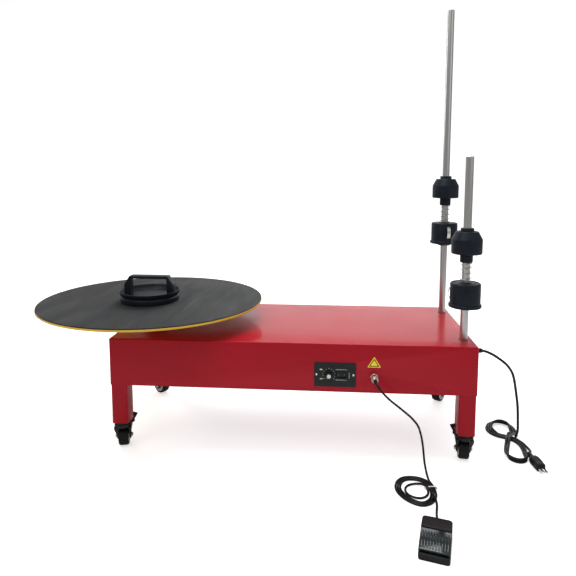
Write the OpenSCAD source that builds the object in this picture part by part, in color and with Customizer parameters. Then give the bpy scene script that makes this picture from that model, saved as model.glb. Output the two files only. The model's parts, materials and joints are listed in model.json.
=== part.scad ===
// Stretch-film wrapping turntable: a low table on casters with a motor-driven round
// platform at one end, two roll-holder poles at the other, and a foot switch on a cord.
// Millimetres. +Z is up, +X runs from the platform to the poles, -Y is the panel side.
// The origin is on the floor, under the middle of the machine and its foot switch.

/* [Table] */
// Length of the casing along X
table_l = 890; // [860:10:940]
// Depth of the casing along Y
table_w = 380; // [370:5:400]
// Height of the casing's top above the floor
table_h = 290; // [286:1:296]
// Height of the casing's aprons
casing_h = 118; // [116:1:122]
// Thickness of the casing's sheet steel
sheet = 1.5; // [1.2:0.1:2]
// Side of the square leg tube
leg_w = 40; // [38:1:40]

/* [Turntable] */
// Diameter of the round platform
disc_d = 604; // [560:4:620]
// Platform centre, from the casing's left side
disc_x = 51; // [49:1:60]
// Height of the platform's plate above the casing's top
disc_gap = 50; // [48:1:56]
// Thickness of the platform's steel plate
plate_t = 5; // [4:0.5:6]
// Thickness of the ribbed rubber mat
mat_t = 3; // [2:0.5:4]
// How far left of the platform's centre the carrying cap sits
cap_off = 2; // [0:1:30]
// How far in front of the platform's centre the cap sits
cap_front = 22; // [0:1:40]
// Outer diameter of the driven pulley
driven_d = 92; // [80:2:94]
// Outer diameter of the motor's pulley
motor_pulley_d = 32; // [28:1:40]

/* [Poles] */
// Diameter of both poles
pole_d = 19; // [18:0.5:20]
// Front pole, from the casing's left side
front_pole_x = 868; // [860:1:868]
// Front pole, from the casing's front
front_pole_y = 59; // [59:1:70]
// Back pole, from the casing's left side
back_pole_x = 868; // [860:1:868]
// Back pole, from the casing's front
back_pole_y = 315; // [300:1:318]
// Height of the front pole above the casing's top
front_pole_h = 443; // [400:10:600]
// Height of the back pole above the casing's top
back_pole_h = 850; // [700:1:900]
// Height of the front roll holder's foot above the casing's top
front_holder_h = 77; // [60:1:150]
// Height of the back roll holder's foot above the casing's top
back_holder_h = 199; // [150:1:400]

/* [Roll holder] */
// Diameter of the hubs that fill a film roll's core
hub_d = 72; // [70:0.5:75]
// Diameter of the lower hub's flange
hub_flange_d = 77.5; // [77:0.5:90]
// How far the leaf spring stands proud of the lower hub
leaf_proud = 4.5; // [3:0.5:5]
// Wire thickness of the coil spring
spring_wire = 2.2; // [1.8:0.1:2.4]
// Turns of the coil spring
spring_turns = 4; // [3:1:6]

/* [Casters] */
// Height of a caster, floor to leg
caster_h = 71; // [71:1:73]
// Diameter of a caster's wheel
wheel_d = 50; // [48:1:50]
// Width of a caster's wheel
wheel_w = 25; // [22:1:25]
// Trail of a wheel behind its swivel
trail = 14; // [12:1:20]

/* [Foot switch] */
// Width of the foot switch
pedal_w = 57; // [55:1:60]
// Length of the foot switch
pedal_l = 88; // [88:1:96]
// Height of the foot switch at its cord end
pedal_h = 31; // [30:1:34]
// Foot switch centre, from the casing's left side
pedal_x = 742; // [700:2:780]
// Foot switch centre, from the casing's front (negative is in front of it)
pedal_y = -290; // [-300:1:-286]
// Turn of the foot switch about its own middle, degrees
pedal_turn = -15; // [-17:1:-13]

/* [Hidden] */

// Gaps: a running fit, and the free gap between parts that pass each other
run = 0.05;
free = 0.3;
eps = 0.01;

// The casing's left, front and underside, placed so that the origin is in the middle
pedal_r = 6;
pedal_reach = (pedal_l / 2 - pedal_r) * cos(pedal_turn)
    + (pedal_w / 2 - pedal_r) * abs(sin(pedal_turn)) + pedal_r;
left = -(max(front_pole_x, back_pole_x) + hub_flange_d / 2 + disc_x - disc_d / 2) / 2;
front = -(table_w / 2 + disc_d / 2 + pedal_y - pedal_reach) / 2;
under = table_h - sheet;

// Places in plan
disc_at = [left + disc_x, front + table_w / 2];
motor_at = disc_at + [176, 0];
front_pole_at = [left + front_pole_x, front + front_pole_y];
back_pole_at = [left + back_pole_x, front + back_pole_y];
leg_in = sheet + leg_w / 2;
leg_places = [
    [left + leg_in, front + leg_in],
    [left + table_l - leg_in, front + leg_in],
    [left + leg_in, front + table_w - leg_in],
    [left + table_l - leg_in, front + table_w - leg_in]
];
// Swivel of each caster at rest, and where the two brake levers point
caster_turns = [15, -7, 57, -36];
lever_turns = [70, 115];

// Heights
plate_z = table_h + disc_gap;
mat_z = plate_z + plate_t;
cap_z = mat_z + mat_t;
belt_z = table_h - 104;
pulley_h = 14;

// Roll holder, heights above its own foot
foot_h = 5;
flange_top = 13;
lower_top = 65;
spring_top = 114;
upper_low = 135;
upper_wide_top = 170;
upper_top = 189;
bush_top = 197;
sleeve_r = 15;
neck_r = 13;
spring_gap = 1.6;

// Casters
wheel_r = wheel_d / 2;
crown_low = 58;
crown_top = caster_h - 5 - free;
lever_r = 26;
lever_z = 63;
fork_in = wheel_w / 2 + 1.3;
fork_out = fork_in + 3.2;

// Control panel on the front apron, from the casing's left and top
panel_x = 506;
panel_w = 99;
panel_h = 59;
panel_top = 45.5;
panel_mid = table_h - panel_top - panel_h / 2;
knob_at = [left + 541, table_h - 75];
rocker_at = [left + 570, table_h - 75];
socket_at = [left + 649, table_h - 78];
gland_at = [left + table_l, front + 52, table_h - 24];
gland_l = 22;

// Foot switch, heights and places along its own length
treadle_rear = 9;
treadle_pin = [6, 22];

// Cords; their routes are measured from the casing's left and front, and from the floor
mains_d = 6.5;
pedal_cord_d = 5;
mains_route = [
    [911, 52, 266], [924, 54, 262], [940, 57, 254], [956, 61, 243], [971, 66, 231],
    [984, 72, 217], [994, 78, 201], [1001, 84, 183], [1007, 91, 162], [1013, 98, 138],
    [1019, 105, 112], [1024, 113, 84], [1028, 121, 58], [1032, 130, 36], [1036, 143, 17],
    [1037, 154, 8]
];
mains_tail = [[1039, 92, 8], [1040, 80, 8.5], [1040, 70, 9], [1037.5, 58, 10], [1034.5, 46, 10]];
mains_plug_at = [1033, 28, 10];
pedal_route = [
    [649, -29, 212], [650, -36, 210], [654, -43, 205], [663, -48, 195], [680, -49, 178],
    [707, -48, 156], [731, -46, 135], [747, -43, 114], [755, -39, 90], [760, -35, 66],
    [763, -32, 44], [765, -32, 24], [767, -38, 10], [768, -50, 4], [768, -64, 3],
    [767, -78, 3]
];
pedal_tail = [
    [762, -156, 4], [763, -170, 3], [763, -184, 3], [762, -198, 3.5], [760.5, -212, 5.5],
    [758.5, -226, 9], [756.5, -238, 11.5], [755, -244, 12]
];

// ---- Shared shapes ----

// A rectangle with round corners, centred, as an exact outline
module round_rect(l, w, r) {
    square([l - 2 * r, w], center = true);
    square([l, w - 2 * r], center = true);
    for (sx = [-1, 1], sy = [-1, 1])
        translate([sx * (l / 2 - r), sy * (w / 2 - r)]) circle(r, $fn = 48);
}

// A tube or bar standing on z, along Z
module post(r, z, h) translate([0, 0, z]) cylinder(r = r, h = h, $fn = 96);

// A bar along X, centred on x = 0
module bar_x(r, l) rotate([0, 90, 0]) cylinder(r = r, h = l, center = true, $fn = 48);

// A bar along Y that starts at y and runs towards +Y
module bar_y(r, y, l) translate([0, y, 0]) rotate([-90, 0, 0]) cylinder(r = r, h = l, $fn = 48);

// Rings of a tube swept along points; ref is any direction that the tube never follows
function unit(v) = v / norm(v);
function tangent(p, i) = unit(p[min(i + 1, len(p) - 1)] - p[max(i - 1, 0)]);
function ring(c, t, r, n, ref) =
    let (u = unit(cross(t, ref)), v = cross(u, t))
    [for (k = [0 : n - 1]) c + r * (cos(360 * k / n) * u + sin(360 * k / n) * v)];
module swept(p, r, n, ref) {
    m = len(p);
    points = [for (i = [0 : m - 1]) each ring(p[i], tangent(p, i), r, n, ref)];
    sides = [for (i = [0 : m - 2], k = [0 : n - 1])
        [i * n + k, i * n + (k + 1) % n, (i + 1) * n + (k + 1) % n, (i + 1) * n + k]];
    start = [[for (k = [0 : n - 1]) n - 1 - k]];
    end = [[for (k = [0 : n - 1]) (m - 1) * n + k]];
    polyhedron(points, concat(sides, start, end));
}

// A slot with round ends and a hole of the same form, as a wound cord lies
module wound(half, r_out, r_in) {
    difference() {
        union() {
            square([2 * r_out, 2 * half], center = true);
            for (s = [-1, 1]) translate([0, s * half]) circle(r_out, $fn = 64);
        }
        if (r_in > 0) {
            square([2 * r_in, 2 * half], center = true);
            for (s = [-1, 1]) translate([0, s * half]) circle(r_in, $fn = 64);
        }
    }
}

// ---- Casing and legs ----

module casing() {
    low = table_h - casing_h;
    mid = [left + table_l / 2, front + table_w / 2];
    lip = 12;
    color("firebrick")
    difference() {
        union() {
            difference() {
                translate([mid.x, mid.y, low])
                    linear_extrude(casing_h) round_rect(table_l, table_w, 3);
                translate([mid.x, mid.y, low - 1])
                    linear_extrude(casing_h + 1 - sheet)
                        round_rect(table_l - 2 * sheet, table_w - 2 * sheet, 1.5);
            }
            for (y = [front + sheet / 2, front + table_w - sheet / 2 - lip])
                translate([left + leg_w + 6, y, low]) cube([table_l - 2 * leg_w - 12, lip, sheet]);
            for (x = [left + sheet / 2, left + table_l - sheet / 2 - lip])
                translate([x, front + leg_w + 6, low]) cube([lip, table_w - 2 * leg_w - 12, sheet]);
        }
        for (p = [front_pole_at, back_pole_at])
            translate(p) post(pole_d / 2 + 2, under - 1, sheet + 2);
        translate(disc_at) post(37, under - 1, sheet + 2);
        translate([left + panel_x + 7, front - 1, panel_mid - 23]) cube([panel_w - 14, sheet + 2, 46]);
        for (x = panel_screw_xs()) translate([x, 0, panel_mid]) bar_y(2, front - 1, sheet + 2);
        translate([socket_at.x, 0, socket_at.y]) bar_y(6, front - 1, sheet + 2);
        translate(gland_at) bar_x(6, 4 * sheet);
    }
}

// Square tubes with a plate welded into the foot
module legs() {
    color("firebrick")
    for (p = leg_places)
        translate(p) difference() {
            translate([0, 0, caster_h]) linear_extrude(under - caster_h) round_rect(leg_w, leg_w, 3);
            translate([0, 0, caster_h + 4]) linear_extrude(table_h) round_rect(leg_w - 4, leg_w - 4, 1.5);
            post(5, caster_h - 1, 6);
        }
}

// ---- Casters ----

// Swivel race, threaded stem with its nut, and the kingpin's head under the fork
module caster_stems() {
    color("dimgray")
    for (p = leg_places)
        translate(p) {
            post(19.5, caster_h - 5, 5);
            post(5, caster_h, 20);
            translate([0, 0, caster_h + 4]) cylinder(r = 9, h = 7, $fn = 6);
            post(4, crown_low - 4, caster_h - crown_low);
            post(6.5, crown_low - 4, 4 - free);
        }
}

// Everything of a caster is drawn with the wheel's trail along +Y, then swivelled
module caster_frame(i) translate(leg_places[i]) rotate(caster_turns[i]) children();

module fork(i) {
    hub_y = trail;
    color([0.1, 0.1, 0.11])
    caster_frame(i) difference() {
        union() {
            post(21.5, crown_low, crown_top - crown_low);
            for (s = [-1, 1]) intersection() {
                translate([0, 40, 0]) rotate([90, 0, 0]) linear_extrude(80)
                    polygon([[s * fork_in, 13], [s * fork_out, 13], [s * fork_out, 33],
                             [s * 21, 52], [s * 21, crown_low + 1], [s * fork_in, crown_low + 1]]);
                rotate([90, 0, 90]) translate([0, 0, -30]) linear_extrude(60) {
                    polygon([[-17, crown_low + 1], [19, crown_low + 1], [hub_y + 9.5, wheel_r],
                             [hub_y - 9.5, wheel_r]]);
                    translate([hub_y, wheel_r]) circle(9.5, $fn = 48);
                }
            }
            translate([0, hub_y, wheel_r]) bar_x(3, 2 * fork_out + 5);
            for (s = [-1, 1]) translate([s * (fork_out + 1.7), hub_y, wheel_r]) rotate([0, 90, 0])
                cylinder(r = 5.5, h = 3.6, center = true, $fn = 6);
            if (i < 2) rotate(lever_turns[i] - caster_turns[i]) {
                for (s = [-1, 1]) translate([14, s * 9.8 - 1.5, crown_low - 1]) cube([16, 3, 8.5]);
                translate([lever_r, 0, lever_z]) rotate([90, 0, 0])
                    cylinder(r = 1.5, h = 22.6, center = true, $fn = 32);
            }
        }
        post(4 + run, crown_low - 1, 12);
    }
}

module wheel(i) {
    h = wheel_w / 2;
    color([0.12, 0.12, 0.12])
    caster_frame(i) translate([0, trail, wheel_r]) rotate([0, 90, 0]) rotate_extrude($fn = 96)
        polygon([
            [3 + run, -h - 1], [7, -h - 1], [7, -h + 3], [17, -h + 3], [18.5, -h],
            [wheel_r - 3, -h], [wheel_r - 1, -h + 1.5], [wheel_r, -h + 5],
            [wheel_r, h - 5], [wheel_r - 1, h - 1.5], [wheel_r - 3, h],
            [18.5, h], [17, h - 3], [7, h - 3], [7, h + 1], [3 + run, h + 1]
        ]);
}

// Foot lever of a caster's brake, pinned between the fork's ears
module brake(i) {
    color([0.08, 0.08, 0.08])
    translate(leg_places[i]) rotate(lever_turns[i]) translate([lever_r, 0, lever_z]) rotate([90, 0, 0])
        difference() {
            union() {
                cylinder(r = 3.6, h = 15, center = true, $fn = 48);
                linear_extrude(15, center = true)
                    polygon([[-2, 0], [1, -3.6], [5, -2.5], [13, 1], [20, 7], [20.5, 10],
                             [18, 10], [11, 5], [0, 3.6]]);
            }
            cylinder(r = 1.5 + run, h = 20, center = true, $fn = 48);
        }
}

module fork_front_left() fork(0);
module fork_front_right() fork(1);
module fork_rear_left() fork(2);
module fork_rear_right() fork(3);
module wheel_front_left() wheel(0);
module wheel_front_right() wheel(1);
module wheel_rear_left() wheel(2);
module wheel_rear_right() wheel(3);
module brake_front_left() brake(0);
module brake_front_right() brake(1);

// ---- Turntable ----

screw_circle = 45;
module flange_screw_places() for (a = [45 : 90 : 315]) rotate(a) translate([screw_circle, 0]) children();

module disc_plate() {
    color("goldenrod")
    translate(disc_at) difference() {
        translate([0, 0, plate_z]) cylinder(d = disc_d, h = plate_t, $fn = 192);
        post(10, plate_z - 1, plate_t + 2);
        flange_screw_places() {
            post(3, plate_z - 1, plate_t + 2);
            translate([0, 0, mat_z - 3]) cylinder(r1 = 3, r2 = 6, h = 3 + eps, $fn = 48);
        }
    }
}

module disc_mat() {
    color([0.27, 0.27, 0.28])
    translate([disc_at.x, disc_at.y, mat_z]) cylinder(d = disc_d - 2, h = mat_t, $fn = 192);
}

// Turned shaft with the flange that carries the platform
module spindle() {
    color("silver")
    translate(disc_at) difference() {
        union() {
            post(10, belt_z, mat_z - belt_z);
            post(22, table_h + disc_gap - 14, 7);
            post(60, table_h + disc_gap - 8, 8);
        }
        flange_screw_places() post(3, plate_z - 9, 10);
    }
}

module flange_screws() {
    color("dimgray")
    translate(disc_at) flange_screw_places() {
        post(3, plate_z - 8, 8 + plate_t - 3);
        translate([0, 0, mat_z - 3]) cylinder(r1 = 3, r2 = 6, h = 3, $fn = 48);
    }
}

// Pulley outline: two flanges with the belt's track between them
module pulley(d, r_bore) {
    translate([0, 0, belt_z]) rotate_extrude($fn = 128)
        polygon([[r_bore, 0], [d / 2, 0], [d / 2, 1.5], [d / 2 - 2, 2], [d / 2 - 2, pulley_h - 2],
                 [d / 2, pulley_h - 1.5], [d / 2, pulley_h], [r_bore, pulley_h]]);
}

module driven_pulley() color("gray") translate(disc_at) pulley(driven_d, 10);

// Pulley and output shaft of the gear motor
module motor_pulley() {
    color("gray")
    translate(motor_at) {
        pulley(motor_pulley_d, 4);
        post(5, belt_z, 80);
    }
}

// Band round two pulleys, r_a and r_b, whose centres are dist apart; its straight runs
// stand a hair proud of the circles, so that they join them with a real edge
module belt_outline(r_a, r_b, dist) {
    lean = acos((r_a - r_b) / dist);
    hair = 0.03;
    circle(r_a, $fn = 128);
    translate([dist, 0]) circle(r_b, $fn = 96);
    polygon([
        (r_a + hair) * [cos(lean), sin(lean)], [dist, 0] + (r_b + hair) * [cos(lean), sin(lean)],
        [dist, 0] + (r_b + hair) * [cos(lean), -sin(lean)], (r_a + hair) * [cos(lean), -sin(lean)]
    ]);
}

module drive_belt() {
    r_a = driven_d / 2 - 2 + free;
    r_b = motor_pulley_d / 2 - 2 + free;
    dist = norm(motor_at - disc_at);
    thick = 2.5;
    color([0.05, 0.05, 0.05])
    translate([disc_at.x, disc_at.y, belt_z + 2.4]) difference() {
        linear_extrude(pulley_h - 4.8) belt_outline(r_a + thick, r_b + thick, dist);
        translate([0, 0, -1]) linear_extrude(pulley_h) belt_outline(r_a, r_b, dist);
    }
}

// Cast housing under the casing's top, with a neck through it
module bearing_block() {
    low = table_h - 75;
    high = table_h + 28;
    color("gray")
    translate(disc_at) difference() {
        union() {
            post(36, low, high - low);
            post(47, under - 8, 8);
        }
        post(20, low - 1, high - low + 2);
        post(23.5, high - 16, 17);
        post(23.5, low - 1, 17);
        block_bolts() post(3, under - 9, 10);
    }
}
module block_bolts() for (a = [0 : 90 : 270]) rotate(a) translate([42, 0]) children();

// Two ball bearings, 20 by 47 by 14
module spindle_bearings() {
    color("silver")
    translate(disc_at) for (z = [table_h - 75 + 1, table_h + 28 - 16])
        difference() {
            post(23.5, z, 14);
            post(10 + run, z - 1, 16);
        }
}

// Worm-gear motor hung from the casing's top, with its output shaft pointing down
motor_bolt = 42;
module motor_bolts()
    for (sx = [-1, 1], sy = [-1, 1]) translate([sx * motor_bolt, sy * motor_bolt]) children();

module gear_motor() {
    color([0.35, 0.37, 0.4])
    translate(motor_at) difference() {
        union() {
            translate([0, 0, under - 5]) linear_extrude(5) round_rect(100, 100, 6);
            translate([0, 0, under - 56]) linear_extrude(52) round_rect(72, 72, 5);
            translate([86, 0, table_h - 42]) bar_x(32, 112);
            translate([146, 0, table_h - 42]) bar_x(26, 14);
        }
        post(5 + run, under - 57, 36);
        motor_bolts() post(3, under - 6, 7);
    }
}

// ---- Poles ----

module pole(at, h) {
    color("silver")
    translate([at.x, at.y, table_h - 60]) {
        cylinder(d = pole_d, h = h + 59, $fn = 96);
        translate([0, 0, h + 59]) cylinder(r1 = pole_d / 2, r2 = pole_d / 2 - 1, h = 1, $fn = 96);
    }
}
module front_pole() pole(front_pole_at, front_pole_h);
module back_pole() pole(back_pole_at, back_pole_h);

// Welded tube and flange under the casing's top; dir points away from the nearer leg
module socket_flange(dir) translate([-9, dir * 16]) round_rect(48, 62, 4);
module socket_bolts(dir) for (p = [[-26, -8], [-26, 40], [8, 40]]) translate([p.x, dir * p.y]) children();
module pole_sockets() {
    color("dimgray")
    for (s = [[front_pole_at, 1], [back_pole_at, -1]])
        translate(s[0]) difference() {
            union() {
                post(16.8, table_h - 62, 62 - sheet);
                translate([0, 0, under - 6]) linear_extrude(6) socket_flange(s[1]);
            }
            post(pole_d / 2, table_h - 60, 62);
            socket_bolts(s[1]) post(3, under - 7, 8);
        }
}

// One hex bolt with its head down; the flange it holds is t thick
module hung_bolt(t) {
    post(3, under - t, t);
    translate([0, 0, under - t - 4]) rotate(30) cylinder(r = 5.5, h = 4, $fn = 6);
}
module frame_bolts() {
    color("silver") {
        translate(disc_at) block_bolts() hung_bolt(8);
        translate(motor_at) motor_bolts() hung_bolt(5);
        translate(front_pole_at) socket_bolts(1) hung_bolt(6);
        translate(back_pole_at) socket_bolts(-1) hung_bolt(6);
    }
}

// ---- Roll holders ----

navy = [0.11, 0.13, 0.17];
leaf_half = 20;
leaf_deep = 3.4;
leaf_sag = leaf_deep + leaf_proud;
leaf_bend = (leaf_half * leaf_half + leaf_sag * leaf_sag) / (2 * leaf_sag);
leaf_z = 39;

// at is the pole, h the height of the holder's foot above the casing's top
module holder_frame(at, h) translate([at.x, at.y, table_h + h]) children();

// Sleeve that slides on the pole, with a foot and a tube inside the lower hub
module sleeve(at, h) {
    color(navy)
    holder_frame(at, h) difference() {
        union() {
            cylinder(r1 = 17, r2 = 20, h = foot_h, $fn = 96);
            post(sleeve_r, 0, lower_top + 1);
        }
        post(pole_d / 2 + run, -1, lower_top + 3);
        translate([0, 0, foot_h / 2]) bar_y(1.5, -25, 25);
    }
}

// Grub screw that grips the pole
module clamp_screw(at, h) {
    color("silver")
    holder_frame(at, h) translate([0, 0, foot_h / 2]) bar_y(1.5, -18.8, 18.8 - pole_d / 2 - run);
}

module lower_hub(at, h, turn) {
    r = hub_d / 2;
    color(navy)
    holder_frame(at, h) rotate(turn) difference() {
        rotate_extrude($fn = 128) {
            polygon([[sleeve_r + run, foot_h + free], [hub_flange_d / 2 - 1, foot_h + free],
                     [hub_flange_d / 2, foot_h + 1.5], [hub_flange_d / 2, flange_top - 1],
                     [hub_flange_d / 2 - 1, flange_top], [r, flange_top], [r, lower_top - 5],
                     [r - 5, lower_top - 5], [r - 5, lower_top], [30, lower_top], [28, lower_top - 1.5],
                     [24, lower_top - 1.5], [22, lower_top], [sleeve_r + run, lower_top]]);
            translate([r - 5, lower_top - 5]) circle(5, $fn = 64);
        }
        translate([r - leaf_deep, -6, leaf_z - leaf_half - 2]) cube([10, 12, 2 * leaf_half + 4]);
    }
}

// Bowed steel leaf that grips the inside of a core
module leaf_spring(at, h, turn) {
    r = hub_d / 2;
    color("silver")
    holder_frame(at, h) rotate(turn) intersection() {
        translate([r + leaf_proud - leaf_bend, 0, leaf_z]) rotate([90, 0, 0]) difference() {
            cylinder(r = leaf_bend, h = 9, center = true, $fn = 192);
            cylinder(r = leaf_bend - 0.8, h = 10, center = true, $fn = 192);
        }
        translate([r - leaf_deep, -6, leaf_z - leaf_half]) cube([12, 12, 2 * leaf_half]);
    }
}

module coil_spring(at, h) {
    low = lower_top + 1 + spring_wire / 2;
    high = spring_top - spring_wire / 2;
    steps = 16 * spring_turns;
    mean = pole_d / 2 + spring_gap + spring_wire / 2;
    path = [for (i = [0 : steps]) [
        mean * cos(360 * spring_turns * i / steps),
        mean * sin(360 * spring_turns * i / steps),
        low + (high - low) * i / steps
    ]];
    color("lightgray") holder_frame(at, h) swept(path, spring_wire / 2, 8, [0, 0, 1]);
}

// Bush that rides on the pole inside the upper hub, pushed up by the spring
module bush(at, h) {
    color([0.08, 0.09, 0.11])
    holder_frame(at, h) rotate_extrude($fn = 96)
        polygon([[pole_d / 2 + run, spring_top], [14, spring_top], [sleeve_r, spring_top + 3],
                 [sleeve_r, upper_low - free], [neck_r, upper_low - free], [neck_r, upper_top + free],
                 [sleeve_r + 0.5, upper_top + free], [sleeve_r + 0.5, bush_top],
                 [pole_d / 2 + run, bush_top]]);
}

module upper_hub(at, h) {
    r = hub_d / 2;
    color(navy)
    holder_frame(at, h) rotate_extrude($fn = 128)
        polygon([[neck_r + run, upper_low], [r - 2, upper_low], [r, upper_low + 2],
                 [r, upper_wide_top], [26.5, upper_top - 1], [25.5, upper_top], [22, upper_top],
                 [20, upper_top - 2], [neck_r + run, upper_top - 2]]);
}

module front_sleeve() sleeve(front_pole_at, front_holder_h);
module front_clamp_screw() clamp_screw(front_pole_at, front_holder_h);
module front_lower_hub() lower_hub(front_pole_at, front_holder_h, 178);
module front_leaf_spring() leaf_spring(front_pole_at, front_holder_h, 178);
module front_coil_spring() coil_spring(front_pole_at, front_holder_h);
module front_bush() bush(front_pole_at, front_holder_h);
module front_upper_hub() upper_hub(front_pole_at, front_holder_h);
module back_sleeve() sleeve(back_pole_at, back_holder_h);
module back_clamp_screw() clamp_screw(back_pole_at, back_holder_h);
module back_lower_hub() lower_hub(back_pole_at, back_holder_h, -83);
module back_leaf_spring() leaf_spring(back_pole_at, back_holder_h, -83);
module back_coil_spring() coil_spring(back_pole_at, back_holder_h);
module back_bush() bush(back_pole_at, back_holder_h);
module back_upper_hub() upper_hub(back_pole_at, back_holder_h);

// ---- Carrying cap on the platform ----

cap_floor = 11;
module cap_frame() translate([disc_at.x - cap_off, disc_at.y - cap_front, cap_z]) children();

// Dish with an upturned rim over a heavier ring
module cap_base() {
    color([0.09, 0.1, 0.12])
    cap_frame() rotate_extrude($fn = 160)
        polygon([[0, 0], [76, 0], [78, 2], [78, 12], [76, 14], [76, 16.5], [79, 20], [80.5, 28],
                 [79, 28], [76, 20], [70, cap_floor], [0, cap_floor]]);
}

module cap_handle() {
    color([0.11, 0.12, 0.15])
    cap_frame() translate([0, 13, 0]) rotate([90, 0, 0]) linear_extrude(26)
        polygon([[-68, cap_floor], [-68, 44], [-53, 68], [53, 68], [68, 44], [68, cap_floor],
                 [50, cap_floor], [50, 60], [-50, 60], [-50, cap_floor]]);
}

// ---- Control panel ----

function panel_screw_xs() = [left + panel_x + 5.5, left + panel_x + panel_w - 5.5];

// Enclosure behind the panel, with the speed control and the switch body inside it
module control_box() {
    box_l = 112;
    box_w = 60;
    box_h = 68;
    color([0.2, 0.2, 0.22])
    difference() {
        union() {
            difference() {
                translate([left + panel_x - 6, front + sheet, panel_mid - box_h / 2])
                    cube([box_l, box_w, box_h]);
                translate([left + panel_x + 4, front, panel_mid - 25]) cube([panel_w - 8, 26, 50]);
            }
            translate([knob_at.x, 0, knob_at.y]) bar_y(12, front + 14, 14);
            translate([rocker_at.x - 14, front + 10, rocker_at.y - 10]) cube([28, 18, 20]);
            for (s = [-1, 1]) translate([rocker_at.x - 4, front + 3, rocker_at.y + s * 9.5 - 1.2])
                cube([8, 8, 2.4]);
            translate([rocker_at.x, front + 6, rocker_at.y - 10]) cylinder(r = 1.5, h = 20, $fn = 32);
        }
        translate([knob_at.x, 0, knob_at.y]) bar_y(3 + run, front + 13, 14);
    }
}

module panel_plate() {
    color([0.16, 0.16, 0.17])
    difference() {
        translate([left + panel_x, front - 2, panel_mid - panel_h / 2]) cube([panel_w, 2, panel_h]);
        translate([knob_at.x, 0, knob_at.y]) bar_y(3.5, front - 3, 4);
        translate([rocker_at.x - 12.3, front - 3, rocker_at.y - 7.7]) cube([24.6, 4, 15.4]);
        for (x = panel_screw_xs()) translate([x, 0, panel_mid]) bar_y(2, front - 3, 4);
    }
}

module panel_screws() {
    color("silver")
    for (x = panel_screw_xs()) translate([x, 0, panel_mid]) {
        bar_y(2, front - 2, 3.5);
        bar_y(3.5, front - 3.6, 1.6);
    }
}

// Knob with its pointer ridge, on the shaft of the speed control
module speed_knob() {
    color([0.1, 0.1, 0.1])
    translate([knob_at.x, 0, knob_at.y]) {
        bar_y(8.5, front - 14, 11.5);
        bar_y(5, front - 14.8, 1);
        bar_y(3, front - 4, 28);
        rotate([0, 130, 0]) translate([4, front - 14.6, -0.8]) cube([4, 3, 1.6]);
    }
}

// Rocker that tips about an upright pin, shown with its right end pressed
module rocker_switch() {
    color([0.09, 0.09, 0.1])
    translate([rocker_at.x, front + 6, rocker_at.y]) rotate(6) difference() {
        translate([0, 0, -7.2]) linear_extrude(14.4)
            polygon([[-11.2, -7.5], [0, -5.8], [11.2, -7.5], [10.4, -1], [3, 2.8], [-3, 2.8], [-10.4, -1]]);
        translate([0, 0, -8]) cylinder(r = 1.5 + run, h = 16, $fn = 32);
    }
}

// Threaded panel socket for the foot switch
module pedal_socket() {
    color("silver")
    translate([socket_at.x, 0, socket_at.y]) {
        bar_y(6, front - 7, 24);
        bar_y(8.7, front - 3, 3);
        bar_y(7, front - 8, 6);
    }
}

// ---- Foot switch ----

module pedal_frame() translate([left + pedal_x, front + pedal_y, 0]) rotate(pedal_turn) children();

// Extrudes a (y, z) outline across the foot switch, between x0 and x1
module across(x0, x1) translate([x0, 0, 0]) rotate([90, 0, 90]) linear_extrude(x1 - x0) children();

// Tray, side cheeks and the housing over the contact
module pedal_base() {
    half = pedal_l / 2;
    color([0.08, 0.08, 0.09])
    pedal_frame() difference() {
        union() {
            intersection() {
                linear_extrude(pedal_h) round_rect(pedal_w, pedal_l, pedal_r);
                union() {
                    across(-pedal_w / 2, pedal_w / 2)
                        polygon([[-half, 0], [half, 0], [half, pedal_h - 3], [half - 3, pedal_h],
                                 [treadle_rear + 0.6, pedal_h - 1], [treadle_rear + 0.6, 5],
                                 [-half + 6.3, 5], [-half + 6.3, 12], [-half + 1.5, 11.5], [-half, 10]]);
                }
            }
            for (s = [-1, 1]) translate([s * 25.4, 0, 0]) across(-1.2, 1.2)
                polygon([[treadle_rear + 1, 4], [treadle_rear + 1, 24.6], [2, 24.6], [-1, 16],
                         [-half + 6, 7], [-half + 6, 4]]);
            translate([0, half - 1, 12]) bar_y(5, 0, 8);
        }
        translate([0, half - 12, 12]) bar_y(pedal_cord_d / 2, 0, 20);
        translate([0, treadle_pin.x, treadle_pin.y]) bar_x(1.5, pedal_w);
    }
}

// Ribbed treadle with side skirts, hinged just in front of the housing
module pedal_treadle() {
    tip = -pedal_l / 2 + 7;
    rib_end = treadle_rear - 7;
    rise = (28.5 - 17.5) * (rib_end - tip - 4) / (treadle_rear - tip);
    color([0.1, 0.12, 0.13])
    pedal_frame() difference() {
        union() {
            across(-28.3, 28.3)
                polygon([[tip, 13], [tip, 16.5], [tip + 1, 17.5], [treadle_rear, 28.5],
                         [treadle_rear, 24], [tip + 4, 13]]);
            for (s = [-1, 1]) translate([s * 27.7, 0, 0]) across(-0.6, 0.6)
                polygon([[tip, 11], [tip, 15], [treadle_rear - 1, 27], [treadle_rear - 1, 20], [1, 16]]);
            for (k = [-4.5 : 4.5]) translate([k * 5.2, 0, 0]) across(-1.2, 1.2)
                polygon([[tip + 4, 17], [tip + 4, 19.8], [rib_end, 19.8 + rise], [rib_end, 17 + rise]]);
            for (s = [-1, 1]) translate([s * 21, 0, 0]) across(-2, 2) {
                polygon([[1, 25], [9, 26], [9, 22], [3, 22]]);
                translate(treadle_pin) circle(3, $fn = 48);
            }
        }
        translate([0, treadle_pin.x, treadle_pin.y]) bar_x(1.5 + run, pedal_w + 4);
        for (s = [-1, 1]) translate([s * 25.4 - 1.7, -1.5, 0]) cube([3.4, 12, 25.2]);
    }
}

module pedal_pin() color("silver") pedal_frame() translate([0, treadle_pin.x, treadle_pin.y]) bar_x(1.5, 53);

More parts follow.
